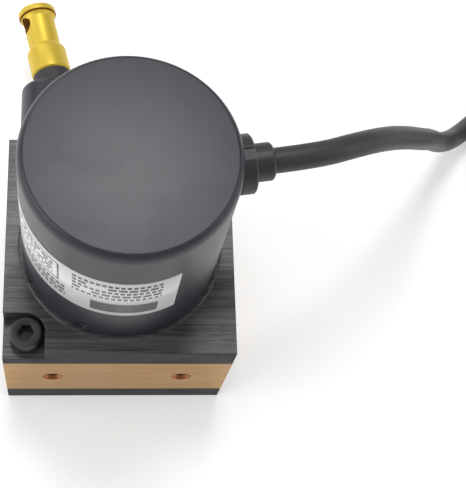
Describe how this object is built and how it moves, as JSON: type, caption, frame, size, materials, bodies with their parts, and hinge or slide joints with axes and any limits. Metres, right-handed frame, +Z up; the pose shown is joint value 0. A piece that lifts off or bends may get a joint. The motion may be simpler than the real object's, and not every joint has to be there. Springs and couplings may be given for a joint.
{
  "type": "draw wire displacement sensor",
  "caption": "Draw wire displacement sensor: square stacked body with a round cover, side cable gland and lead, and a spring-returned wire ending in a swivelling eye fitting.",
  "frame": {"origin": "centre of the square underside, on the drum and cover axis", "axes": "+Z up the cover, +Y the way the wire leaves its outlet, +X the cable gland's side"},
  "size_m": [0.2043, 0.1083, 0.082],
  "materials": {
    "black_anodised": "satin black anodised",
    "gold_anodised": "satin gold anodised",
    "bare_aluminium": "turned",
    "yellow_brass": "turned",
    "screw_steel": "blackened",
    "bright_steel": "ground",
    "wire_steel": "stranded",
    "spring_steel": "blued",
    "label_film": "matt silver film",
    "seal_rubber": "matt",
    "gland_plastic": "satin moulded",
    "guide_plastic": "smooth moulded",
    "sensor_plastic": "moulded",
    "board_laminate": "lacquered",
    "jacket": "satin",
    "conductors": "coloured",
    "tie_plastic": "satin"
  },
  "bodies": {
    "housing": {"base_plate": "black_anodised", "drum_housing": "gold_anodised", "top_plate": "black_anodised", "sensor_can": "black_anodised", "side_label": "label_film", "can_seal": "seal_rubber", "can_set_screws": "screw_steel", "corner_cap_screws": "screw_steel", "base_screws": "screw_steel", "lower_bearing_outer_ring": "bright_steel", "lower_bearing_balls": "bright_steel", "upper_bearing_outer_ring": "bright_steel", "upper_bearing_balls": "bright_steel", "spring_cup": "bright_steel", "power_spring": "spring_steel", "potentiometer_body": "sensor_plastic", "potentiometer_nut": "bright_steel", "sensor_bracket": "bare_aluminium", "sensor_spacers": "bright_steel", "bracket_screws": "bright_steel", "board_spacers": "bright_steel", "transmitter_board": "board_laminate", "board_screws": "bright_steel", "gland_body": "gland_plastic", "gland_cap": "gland_plastic", "gland_seal": "seal_rubber", "gland_locknut": "gland_plastic", "cable_tail": "jacket", "inner_conductors": "conductors", "wire_outlet": "black_anodised", "outlet_eyelet": "guide_plastic", "cable_lead": "jacket", "cable_coil": "jacket", "coil_ties": "tie_plastic", "conductor_ends": "conductors"},
    "drum": {"wire_drum": "bare_aluminium", "wound_wire": "wire_steel", "drum_shaft": "bright_steel", "spring_arbor": "bright_steel", "lower_bearing_inner_ring": "bright_steel", "upper_bearing_inner_ring": "bright_steel", "shaft_circlip": "spring_steel", "shaft_coupling": "bare_aluminium", "coupling_screws": "screw_steel", "potentiometer_shaft": "bright_steel"},
    "wire_end": {"draw_wire": "wire_steel"},
    "wire_ball": {"ball_end": "bright_steel"},
    "fitting": {"end_fitting": "yellow_brass", "rubber_bumper": "seal_rubber"}
  },
  "joints": [
    {"name": "wire_pull", "type": "slide", "parent": "housing", "child": "wire_end", "axis": [0, 1, 0], "range_m": [0, 1], "stiffness_N_per_m": 2, "springref_m": -1, "deforming": ["draw_wire"]},
    {"name": "drum_spin", "type": "hinge", "parent": "housing", "child": "drum", "pos_m": [0, 0, 0], "axis": [0, 0, -1], "range_deg": [0, 3605], "deforming": ["power_spring"]},
    {"name": "fitting_swivel", "type": "hinge", "parent": "wire_end", "child": "wire_ball", "pos_m": [-0.01592, 0.051, 0.01735], "axis": [0, 1, 0], "continuous": true},
    {"name": "fitting_swing", "type": "hinge", "parent": "wire_ball", "child": "fitting", "pos_m": [-0.01592, 0.051, 0.01735], "axis": [0, 0, 1], "range_deg": [-27, 0]}
  ],
  "couplings": [
    {"joint": "drum_spin", "follows": "wire_pull", "rad_per_m": 62.832}
  ]
}
